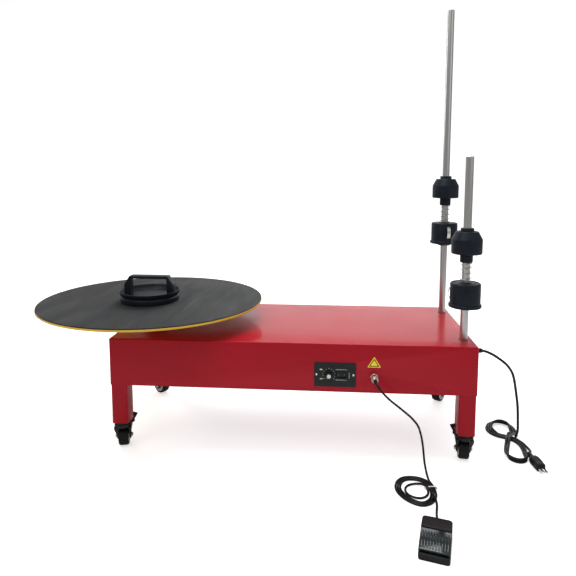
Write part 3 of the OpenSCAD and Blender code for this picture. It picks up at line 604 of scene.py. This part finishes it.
pedal_turn = [
    (769, -78), (774, -95), (776, -113), (775, -132), (769, -149), (758, -163), (742, -171), (725, -168),
    (709, -157), (697, -142), (689, -124), (687, -106), (691, -88), (700, -73), (714, -63), (731, -60),
    (748, -62), (761, -69),
]
pedal_turn = [(x, y, 0, 0, i / len(pedal_turn)) for i, (x, y) in enumerate(pedal_turn)]
pedal_line = [
    (649, -29, 212), (650, -36, 210), (654, -43, 205), (663, -48, 195), (680, -49, 178),
    (707, -48, 156), (731, -46, 135), (747, -43, 114), (755, -39, 90), (760, -35, 66),
    (763, -33, 44), (765, -35, 24), (767, -44, 10), (768, -60, 3.5),
] + wind(pedal_turn, 3, 5.2, 2.55, len(pedal_turn), -1) + [
    (754, -84, 2.6), (759, -98, 2.6), (759.5, -113, 2.6), (757, -128, 2.6), (749, -139, 2.6),
    (737, -144, 2.6), (724, -141, 2.6), (714, -132, 2.6), (710, -119, 2.6), (713, -106, 2.6),
    (721, -97, 2.6), (733, -92, 3), (745, -94, 5), (754, -102, 7.2), (760, -114, 7.8),
    (764, -128, 7.8), (767, -142, 7.8), (768.5, -156, 7.8), (768, -170, 5.5), (765, -184, 3),
    (762, -198, 3.5), (760, -212, 5.5), (758, -226, 9), (756, -237, 11.5), (754.5, -244, 12),
]
cord_piece("pedal_lead", pedal_line, PEDAL_D, ("pedal_cord", "pedal_coil"))


def tie(name, centre, across, reach, height, thick, width, material):
    """A strap round a bundle of turns: half reach across and from the floor to height."""
    outer = rounded([(-reach, 0.2, 2.4), (reach, 0.2, 2.4), (reach, height, 3), (-reach, height, 3)])
    half, low, high = reach - thick, 0.2 + thick, height - thick
    inner = rounded([(-half, low, 1.8), (half, low, 1.8), (half, high, 2.4), (-half, high, 2.4)])
    rings = []
    for z, outline in ((-width / 2, inner), (-width / 2, outer), (width / 2, outer), (width / 2, inner)):
        rings.append([Vector((p.x, p.y, z)) for p in outline])
    bm = loft(bmesh.new(), rings, caps=(False, False), loop=True)
    middle, across_half = height / 2, width / 2 + 0.8
    block(reach - 1, reach + 3.2, middle - 2.6, middle + 2.6, -across_half, across_half, 0.6, bm)
    x = Vector((*across, 0)).normalized()
    along = x.cross(Vector((0, 0, 1)))
    return piece(name, bm, material, "root", place(spot(*centre), along, x))


tie("mains_tie", (1019, 134, 0), (0.75, 0.66), 20, 14, 1.1, 6, TIE)
tie("pedal_tie", (766, -105, 0), (1, 0.12), 12.5, 6.6, 0.9, 2.6, CLEAR_TIE)

# ---- Casing and legs ----


def ring_of(inset, z, radius=3.0):
    outline = box_outline(inset, TABLE_L - inset, inset, TABLE_W - inset, max(radius - inset, 0.6))
    return [Vector((p.x, p.y, z)) for p in outline]


def bend(radius, inset, top, steps=5):
    """Rings of a sheet's round bend from its wall, at that inset, to its flat top."""
    return [ring_of(inset + radius * (1 - math.cos(a)), top - radius * (1 - math.sin(a)), 3.0)
            for a in (math.pi / 2 * k / steps for k in range(steps + 1))]


table = place(spot(0, 0, 0))
outside = [ring_of(0.3, APRON_LOW), ring_of(0, APRON_LOW + 0.3)] + bend(3.0, 0, TABLE_H)
inside = bend(1.6, SHEET, UNDER)[::-1] + [ring_of(SHEET, APRON_LOW)]
bm = loft(bmesh.new(), outside, caps=(False, True))
bm = loft(bm, inside + outside[:1], caps=(True, False))
casing = stand_in("casing_shell", bm, RED, "casing", table)
POLES = {"front": (868, 59), "back": (868, 315)}
DISC = (51, 190)


def drill(radius, low, high, segments, matrix):
    bm = lathe([(0, low), (radius, low), (radius, high), (0, high)], segments)
    bm.transform(matrix)
    return bm


window = block(513, 598, -2, 3, PANEL_MID - 23, PANEL_MID + 23, 0.6)
window.transform(table)
cut(casing, *(drill(11.5, UNDER - 3, TABLE_H + 3, 64, place(spot(*at, 0))) for at in POLES.values()),
    drill(37, UNDER - 3, TABLE_H + 3, 96, place(spot(*DISC, 0))), window,
    drill(6, -3, 3, 48, socket_at), drill(6, -3, 3, 48, gland_at))
bm = bmesh.new()
for y in (1, TABLE_W - 13):
    block(46, TABLE_L - 46, y, y + 12, APRON_LOW, APRON_LOW + SHEET, 0.5, bm)
for x in (1, TABLE_L - 13):
    block(x, x + 12, 46, TABLE_W - 46, APRON_LOW, APRON_LOW + SHEET, 0.5, bm)
piece("casing_lips", bm, RED, "root", table)

LEG_IN = 21.5
LEGS = {
    "front_left": (LEG_IN, LEG_IN), "front_right": (TABLE_L - LEG_IN, LEG_IN),
    "rear_left": (LEG_IN, TABLE_W - LEG_IN), "rear_right": (TABLE_L - LEG_IN, TABLE_W - LEG_IN),
}
bm = bmesh.new()
for x, y in LEGS.values():
    prism(box_outline(x - 20, x + 20, y - 20, y + 20, 3.2), 71, UNDER, 0.6, bm)
stand_in("leg_tubes", bm, RED, "legs", table)

# ---- Turntable ----

disc = place(spot(*DISC, 0))
bm = lathe(rounded([(10, 340), (302, 340, 1.2), (302, 345, 1.2), (10, 345)]), 256, True)
stand_in("platform_plate", bm, YELLOW, "disc_plate", disc)


def ribbed_mat(radius=301.0, pitch=3.0, low=345.0, top=348.0, direction=87.7, seam=122.0):
    """A disc covered by half-round ribs, with a wider groove where two widths of matting meet."""
    bm = lathe(rounded([(0, low), (radius, low), (radius, top - 0.7, 0.5), (0, top - 0.7)], False), 256)
    turn = Matrix.Rotation(math.radians(direction - 90), 3, "Z")
    count = int(radius / pitch)
    for k in range(-count, count + 1):
        u = k * pitch
        if abs(u - seam) < pitch / 2:
            continue
        half = math.sqrt(max((radius - 0.6) ** 2 - (abs(u) + 1.1) ** 2, 0))
        if half < 4:
            continue
        rings = []
        for y in (-half, -half / 3, half / 3, half):
            rings.append([turn @ Vector((u + a, y, z)) for a, z in
                          ((-1.15, top - 0.9), (-0.95, top - 0.35), (-0.45, top - 0.02), (0.45, top - 0.02),
                           (0.95, top - 0.35), (1.15, top - 0.9))])
        loft(bm, rings)
    return bm


stand_in("platform_mat", ribbed_mat(), MAT, "disc_mat", disc, sharp=50)

# ---- Carrying cap ----

CAP_AT = (DISC[0] - 2, DISC[1] - 22, 348)
cap = place(spot(*CAP_AT))
bm = lathe(rounded([(0, 0), (76, 0, 1), (78, 2, 0.8), (78, 12, 1), (76, 14, 0.8), (76, 16.5, 0.8),
                    (79, 20, 2), (80.5, 28, 0.6), (79, 28, 0.5), (76, 20, 3), (70, 11, 2), (0, 10.8)],
                   False), 160)
stand_in("cap_saucer", bm, CAP, "cap_base", cap)
bm = lathe(rounded([(0, 10.6), (66, 10.6), (67.5, 12.2, 0.6), (0, 12.2)], False), 128)
piece("cap_pad", bm, MAT, body_of_node["cap_base"], cap)
outline = rounded([(-68, 11), (-68, 44, 5), (-53, 68, 5), (53, 68, 5), (68, 44, 5), (68, 11),
                   (50, 11), (50, 60, 2), (-50, 60, 2), (-50, 11)])
bm = prism(outline, -13, 13, 2.2)
stand_in("cap_grip", bm, CAP, "cap_handle", place(spot(*CAP_AT), (0, -1, 0), (1, 0, 0)))

# ---- Roll holders ----

HUB_R = 36.0
LEAF_DEEP, LEAF_PROUD, LEAF_HALF, LEAF_Z = 3.4, 4.5, 20.0, 39.0
LEAF_SAG = LEAF_DEEP + LEAF_PROUD
LEAF_R = (LEAF_HALF ** 2 + LEAF_SAG ** 2) / (2 * LEAF_SAG)
COILS, WIRE, COIL_R = 4, 2.2, 12.2
# The coil spring's ends above the holder's foot, and how far the joint presses it
SPRING_LOW, SPRING_HIGH, SPRING_PUSH = 66, 114, 15


def roll_holder(side, foot, turn):
    x, y = POLES[side]
    frame_at = place(spot(x, y, foot))
    bm = lathe(rounded([(15.05, 5.3), (37.75, 5.3, 0.8), (38.75, 6.5, 0.8), (38.75, 12, 0.8),
                        (37.75, 13, 0.6), (36, 13), (36, 65, 4.6), (30.4, 65, 0.6), (28.4, 63.6, 0.5),
                        (24.4, 63.6, 0.5),
                        (22.4, 65, 0.5), (15.05, 65, 0.6)]), 128, True)
    hub = stand_in(side + "_roll_seat", bm, NYLON, side + "_lower_hub", frame_at)
    a = math.radians(turn)
    facing = Vector((math.cos(a), math.sin(a), 0))
    slot_half = LEAF_HALF + 2
    slot_bm = block(HUB_R - LEAF_DEEP, HUB_R + 8, LEAF_Z - slot_half, LEAF_Z + slot_half, -6, 6, 0.5)
    leaf_at = place(spot(x, y, foot), (facing.y, -facing.x, 0), facing)
    slot_bm.transform(leaf_at)
    cut(hub, slot_bm)
    swing = math.asin(LEAF_HALF / LEAF_R)
    middle = HUB_R + LEAF_PROUD - LEAF_R
    arc = [swing * (k / 12 - 1) for k in range(25)]
    outline = [(middle + r * math.cos(t), LEAF_Z + r * math.sin(t))
               for r, line in ((LEAF_R, arc), (LEAF_R - 0.8, arc[::-1])) for t in line]
    bm = prism(outline, -4.5, 4.5, 0.15, segments=1)
    stand_in(side + "_leaf", bm, SPRING, side + "_leaf_spring", leaf_at)

    bm = lathe(rounded([(13.05, 135), (34, 135, 0.6), (36, 137, 0.8), (36, 170, 0.8), (26.5, 188, 1.2),
                        (25.5, 189, 0.5), (22, 189, 0.6), (20, 187, 0.5), (13.05, 187)]), 128, True)
    stand_in(side + "_roll_cone", bm, NYLON, side + "_upper_hub", frame_at)
    bm = lathe(rounded([(9.55, 114), (14, 114, 0.5), (15, 117, 0.8), (15, 134.7, 0.4), (13, 134.7),
                        (13, 187.3), (15.5, 187.3), (15.5, 197, 1.2), (9.55, 197, 0.6)]), 96, True)
    stand_in(side + "_sliding_bush", bm, NYLON, side + "_bush", frame_at)

    low, high = SPRING_LOW + WIRE / 2, SPRING_HIGH - WIRE / 2
    steps = 28 * COILS
    path = []
    for k in range(steps + 1):
        t = k / steps
        # the end turns lie nearly flat, as ground spring ends do
        rise = t - 0.035 * math.sin(2 * math.pi * t)
        path.append((COIL_R * math.cos(2 * math.pi * COILS * t), COIL_R * math.sin(2 * math.pi * COILS * t),
                     low + (high - low) * rise))
    spring = stand_in(side + "_compression_spring", swept(path, WIRE / 2), SPRING, side + "_coil_spring",
                      frame_at)
    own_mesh(spring)


roll_holder("front", 367, 178)
roll_holder("back", 489, -83)

# ---- Casters ----

def caster(name):
    axle = pivot("roll_" + name)
    along = spin_axis("roll_" + name)
    at = place(axle, along)
    wheel = "caster_wheel_" + name
    bm = lathe(rounded([(18.4, -12, 0.4), (19.4, -12.5, 0.5), (22, -12.5, 1.2), (24.2, -10.6, 1.2),
                        (25, -7, 1), (25, 7, 1), (24.2, 10.6, 1.2), (22, 12.5, 1.2), (19.4, 12.5, 0.5),
                        (18.4, 12, 0.4),
                        (16.6, 8), (16.6, -8)]), 96, True)
    tyre = piece("tyre_" + name, bm, TYRE, wheel, at)
    bm = lathe(rounded([(3.05, -13.5), (6.6, -13.5, 0.6), (7, -9.4, 0.6), (14, -8.6, 0.6),
                        (15.6, -12.3, 0.4), (18.6, -12.3, 0.4), (18.6, 12.3, 0.4), (15.6, 12.3, 0.4),
                        (14, 8.6, 0.6), (7, 9.4, 0.6), (6.6, 13.5, 0.6), (3.05, 13.5)]), 72, True)
    for k in range(6):
        rib = block(7, 15.4, -0.9, 0.9, -11, 11, 0.4)
        merged(bm, rib, Matrix.Rotation(math.radians(60 * k), 4, "Z"))
    rim = piece("rim_" + name, bm, RIM, wheel, at)
    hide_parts("wheel_" + name)
    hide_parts("wheel_" + name)
    bm = bmesh.new()
    for side in (-1, 1):
        low = 17 if side > 0 else -20.8
        prism(hexagon(5.7), low, low + 3.8, 0.5, bm)
        lathe(rounded([(0, side * 19), (2.8, side * 19), (2.8, side * 21.9, 0.5), (0, side * 21.9)], False),
              24, bm=bm)
    piece("axle_nuts_" + name, bm, STEEL, "caster_" + name, at)


for name in LEGS:
    caster(name)


def brake_lever(name):
    """Pressed foot lever with a rolled tread and three grip ribs."""
    axis = spin_axis("brake_press_" + name)
    outward = axis.cross(Vector((0, 0, 1)))
    at = place(pivot("brake_press_" + name), -axis, outward)
    outline = rounded([(-2.6, -2.6, 2.4), (2.6, -3.2, 2), (5, -2.5, 1), (13, 1, 4), (20, 7, 1),
                       (20.5, 10, 1), (18, 10, 0.8), (11, 5, 4), (-0.4, 3.4, 2.6)])
    bm = prism(outline, -7.5, 7.5, 0.8)
    for k in range(3):
        block(11.6 + 2.3 * k, 12.8 + 2.3 * k, 4.8 + 1.7 * k, 6.8 + 1.7 * k, -6.4, 6.4, 0.4, bm)
    stand_in("brake_tread_" + name, bm, MOULDED, "brake_" + name, at)


for name in ("front_left", "front_right"):
    brake_lever(name)

# ---- Control panel ----

KNOB = (541, 215)
ROCKER = (570, 215)
panel = place(spot(0, 0, 0), (0, -1, 0), (1, 0, 0))
knob_at = place(spot(KNOB[0], 0, KNOB[1]), (0, -1, 0), (1, 0, 0))
bm = bmesh.new()
rings = []
for z, shrink in ((2.5, 0), (3, -0.2), (12.6, 0.5), (13.6, 0.9), (14, 1.8)):
    ring = []
    for k in range(72):
        a = 2 * math.pi * k / 72
        flute = 0.35 * (0.5 - 0.5 * math.cos(18 * a)) if z > 3 else 0
        ring.append(Vector(((8.5 - shrink - flute) * math.cos(a), (8.5 - shrink - flute) * math.sin(a), z)))
    rings.append(ring)
loft(bm, rings)
lathe([(0, -23.8), (2.95, -23.8), (2.95, 4), (0, 4)], 32, bm=bm)
stand_in("dial_knob", bm, KNOB_BLACK, "speed_knob", knob_at)
bm = lathe(rounded([(0, 13.6), (5, 13.6), (5, 14.8, 0.5), (4.2, 14.8), (3.9, 14.5), (0, 14.5)], False), 48)
piece("dial_knob_cap", bm, NICKEL, "speed_knob_body", knob_at)
bm = block(3.6, 8.2, -0.7, 0.7, 13.8, 14.9, 0.3)
piece("dial_pointer", bm, PALE_MARK, "speed_knob_body",
      knob_at @ Matrix.Rotation(math.radians(-130), 4, "Z"))

bm = bmesh.new()
for k in range(11):
    a = math.radians(220 - 26 * k)
    tick = block(13.4, 16.6 if k % 5 == 0 else 15.4, -0.55, 0.55, 1.98, 2.14, 0.1)
    merged(bm, tick, Matrix.Rotation(a, 4, "Z"))
for x, z, w in ((-18.6, 12.4, 3.2), (-18.2, -10.6, 3.0)):
    block(x - w, x + w, z - 1.5, z + 1.5, 1.98, 2.14, 0.1, bm)
piece("dial_ticks", bm, MARK, "root", knob_at)
bm = bmesh.new()
for x0, x1, z0, z1 in ((557, 584, 227, 229), (557, 584, 201.6, 203.4), (588.6, 590.4, 206, 221)):
    block(x0, x1, z0, z1, 1.98, 2.12, 0.1, bm)
piece("panel_bars", bm, PALE_MARK, "root", panel)

rocker_at = place(spot(ROCKER[0], 0, ROCKER[1]), (0, -1, 0), (1, 0, 0))
outer = box_outline(-13.6, 13.6, -9, 9, 1.6)
inner = box_outline(-11.9, 11.9, -7.45, 7.45, 0.8)
rings = [[Vector((p.x, p.y, z)) for p in outline] for z, outline in
         ((1.9, inner), (1.9, outer), (2.9, outer), (3.3, [p * 0.985 for p in outer]), (3.3, inner))]
bezel = loft(bmesh.new(), rings, caps=(False, False), loop=True)
piece("rocker_bezel", bezel, MOULDED, "root", rocker_at)
tip_at = Matrix.Translation(spot(ROCKER[0], 6, ROCKER[1])) @ Matrix.Rotation(math.radians(6), 4, "Z") \
    @ Matrix.Scale(MM, 4)
outline = rounded([(-11.2, -7.5, 0.7), (0, -5.8, 14), (11.2, -7.5, 0.7), (10.4, -1), (3, 2.8), (-3, 2.8),
                   (-10.4, -1)])
bm = prism(outline, -7.2, 7.2, 0.4)
stand_in("rocker_key", bm, KNOB_BLACK, "rocker_switch", tip_at)
bm = block(-8.4, -7.8, -7.75, -7.0, -1.8, 1.8, 0.15)
block(6.8, 8.6, -7.5, -6.6, -0.8, 0.8, 0.15, bm)
piece("rocker_marks", bm, PALE_MARK, "power_rocker", tip_at)

for k, x in enumerate((511.5, 599.5)):
    bm = lathe(rounded([(0, 1.9), (2.9, 1.9), (2.9, 2.5, 0.2), (2.1, 3.4, 0.7), (0, 3.6)], False), 40)
    made = piece("panel_screw_head_%d" % k, bm, NICKEL, "root",
                 place(spot(x, 0, PANEL_MID), (0, -1, 0), (1, 0, 0)))
    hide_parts("panel_screws")

# Plain yellow triangle on the apron, without a sign
triangle = place(spot(648.2, 0, 0), (0, -1, 0), (1, 0, 0))
low, high = TABLE_H - 55, TABLE_H - 28.8
for name, inset, z, material in (("label_face", 0, 0.02, LABEL), ("label_line", 2.0, 0.2, LABEL_EDGE),
                                 ("label_field", 4.2, 0.28, LABEL)):
    bm = prism(rounded([(-16.4 + inset * 1.73, low + inset, 1.2), (16.4 - inset * 1.73, low + inset, 1.2),
                        (0, high - inset * 2, 1.2)]), z, z + 0.1, 0.03, segments=1)
    piece(name, bm, material, "root", triangle)

# ---- Foot switch ----

TURN = math.radians(-15)
across = Vector((math.cos(TURN), math.sin(TURN), 0))
ahead = Vector((-math.sin(TURN), math.cos(TURN), 0))
pedal_up = place(spot(742, -290, 0), (0, 0, 1), across)
pedal_side = place(spot(742, -290, 0), across, ahead)

bm = prism(box_outline(-28.5, 28.5, -44, 44, 6), 0, 5, 0.8)
outline = rounded([(-28.5, 9.6, 1), (28.5, 9.6, 1), (28.5, 44, 6), (-28.5, 44, 6)])
rings = [[Vector((p.x, p.y, z)) for p in outline] for z in (3, 28)]
for k in range(1, 6):
    a = math.pi / 2 * k / 5
    shrink = 3 * (1 - math.cos(a))
    rings.append([Vector((p.x * (1 - shrink / 28.5), 26.8 + (p.y - 26.8) * (1 - shrink / 17.2),
                          28 + 3 * math.sin(a))) for p in outline])
loft(bm, rings)
outline = rounded([(-28.5, -44, 5), (28.5, -44, 5), (28.5, -37.7, 0.6), (-28.5, -37.7, 0.6)])
prism(outline, 3, 11.8, 0.5, bm)
for side in (-1, 1):
    cheek = prism(rounded([(10, 4), (10, 24.6, 1), (2, 24.6, 3), (-1, 16, 4), (-38, 7, 1), (-38, 4)]),
                  side * 25.4 - 1.2, side * 25.4 + 1.2, 0.3)
    cheek.transform(Matrix(((0, 0, 1, 0), (1, 0, 0, 0), (0, 1, 0, 0), (0, 0, 0, 1))))
    merged(bm, cheek)
boot = lathe(rounded([(2.55, 42), (5.4, 42), (5.2, 45, 0.4), (4.2, 50.6, 0.8), (2.55, 51)]), 40, True)
boot.transform(Matrix(((0, 1, 0, 0), (0, 0, 1, 0), (1, 0, 0, 12), (0, 0, 0, 1))))
merged(bm, boot)
stand_in("foot_switch_housing", bm, MOULDED, "pedal_base", pedal_up)

TIP, REAR = -37.0, 9.0
RISE = (28.5 - 17.5) / (REAR - TIP)
bm = prism(rounded([(TIP, 13.2, 0.8), (TIP, 17.3, 1.4), (REAR, 28.5, 1), (REAR, 24, 1), (TIP + 4, 13.2, 1)]),
           -28.3, 28.3, 1.0)
for side in (-1, 1):
    prism(rounded([(TIP, 11, 1), (TIP, 15.4), (REAR - 1, 26.6), (REAR - 1, 20, 1), (1, 16, 2)]),
          side * 27.6 - 0.7, side * 27.6 + 0.7, 0.3, bm)
    lug = prism(rounded([(1, 25), (9, 26), (9, 18, 2.8), (3, 18, 2.8)]), side * 21 - 2, side * 21 + 2, 0.3)
    merged(bm, lug)
treadle = stand_in("treadle_plate", bm, TREADLE, "pedal_treadle", pedal_side)
bm = bmesh.new()
for k in range(10):
    x = 5.2 * (k - 4.5)
    rings = []
    for y, lift in ((TIP + 2.2, -1.0), (TIP + 3.2, 0.9), (TIP + 4.6, 1.7), (REAR - 8.5, 1.7), (REAR - 7, 0.9),
                    (REAR - 6, -1.0)):
        base = 17.5 + RISE * (y - TIP)
        rings.append([Vector((y, base + (z + lift if lift < 0 else z * lift), x + a))
                      for a, z in ((-1.25, -0.5), (-1.05, 0.45), (-0.5, 0.95), (0.5, 0.95), (1.05, 0.45),
                                   (1.25, -0.5))])
    loft(bm, rings)
piece("treadle_ribs", bm, TREADLE, "treadle", pedal_side)

# ---- Pieces that keep their CAD form ----

carry(BLACK_STEEL, "caster_stems", "fork_front_left", "fork_front_right", "fork_rear_left", "fork_rear_right")
carry(STEEL, "flange_screws", "frame_bolts", "pole_sockets", "spindle_bearings", "pedal_pin",
      "front_clamp_screw", "back_clamp_screw")
carry(TURNED, "spindle", "motor_pulley", "driven_pulley")
carry(CAST, "bearing_block")
carry(GREY_MOTOR, "gear_motor")
carry(BELT, "drive_belt")
carry(POLE, "front_pole", "back_pole")
carry(NYLON, "front_sleeve", "back_sleeve")
carry(CHARCOAL, "control_box", "panel_plate")
carry(SPRING, "pedal_spring")

# ---- Floor and light ----


def make_floor():
    """A pale sweep: flat under the object, rising far behind it."""
    bm = bmesh.new()
    rows = []
    for y, z in ((-6, 0), (2.6, 0), (3.2, 0.06), (3.7, 0.25), (4.05, 0.6), (4.2, 1.1), (4.25, 4.5)):
        rows.append([bm.verts.new((x, y, z)) for x in (-7, 7)])
    for a, b in zip(rows, rows[1:]):
        bm.faces.new((a[0], a[1], b[1], b[0]))
    mesh = bpy.data.meshes.new("floor")
    bm.to_mesh(mesh)
    bm.free()
    mesh.polygons.foreach_set("use_smooth", [True] * len(mesh.polygons))
    material = surface("studio_floor", (0.88, 0.88, 0.885), 0.6)
    vary_colour(material, (0.86, 0.86, 0.865), 1.5, 0.5)
    # the floor looks whiter than it lights the object, as in a cut-out product picture
    tree = material.node_tree
    glow = node_of(tree, "ShaderNodeMapRange", To_Max=0.6)
    tree.links.new(tree.nodes.new("ShaderNodeLightPath").outputs["Is Camera Ray"], glow.inputs["Value"])
    tree.links.new(glow.outputs["Result"], tree.nodes["Principled BSDF"].inputs["Emission Strength"])
    tree.nodes["Principled BSDF"].inputs["Emission Color"].default_value = (1, 1, 1, 1)
    mesh.materials.append(material)
    floor = bpy.data.objects.new("floor", mesh)
    scene.collection.objects.link(floor)


def light(name, at, aim, size, power, colour=(1, 1, 1)):
    data = bpy.data.lights.new(name, "AREA")
    data.shape = "RECTANGLE"
    data.size, data.size_y = size
    data.energy = power
    data.color = colour
    made = bpy.data.objects.new(name, data)
    made.location = at
    made.rotation_euler = (Vector(aim) - Vector(at)).to_track_quat("-Z", "Y").to_euler()
    made.visible_camera = False
    scene.collection.objects.link(made)


make_floor()
light("key", (-1.1, -1.5, 2.6), (0, 0, 0.3), (1.8, 1.8), 21)
light("top", (0.1, 0.1, 3.0), (0.1, 0.1, 0), (1.6, 1.6), 44)
light("fill", (2.4, -1.7, 1.5), (0.2, 0, 0.3), (1.6, 1.6), 7)
light("back", (0.6, 2.4, 2.5), (0.1, 0.6, 0.3), (3.0, 1.6), 42)
light("edge", (-1.6, 1.2, 1.4), (0.4, -0.3, 0.03), (0.5, 0.9), 10)
light("sheen", (0.4, 3.4, 1.1), (0.3, 0, 0.3), (3.2, 0.7), 6)


def make_world(seen=1.0, cast=0.36):
    """A white room that the camera sees brighter than it lights the object."""
    world = bpy.data.worlds.new("studio")
    world.use_nodes = True
    tree = world.node_tree
    path = tree.nodes.new("ShaderNodeLightPath")
    strength = node_of(tree, "ShaderNodeMapRange", To_Min=cast, To_Max=seen)
    tree.links.new(path.outputs["Is Camera Ray"], strength.inputs["Value"])
    tree.links.new(strength.outputs["Result"], tree.nodes["Background"].inputs["Strength"])
    tree.nodes["Background"].inputs["Color"].default_value = (1, 1, 1, 1)
    scene.world = world


make_world()
scene.view_settings.view_transform = "Standard"
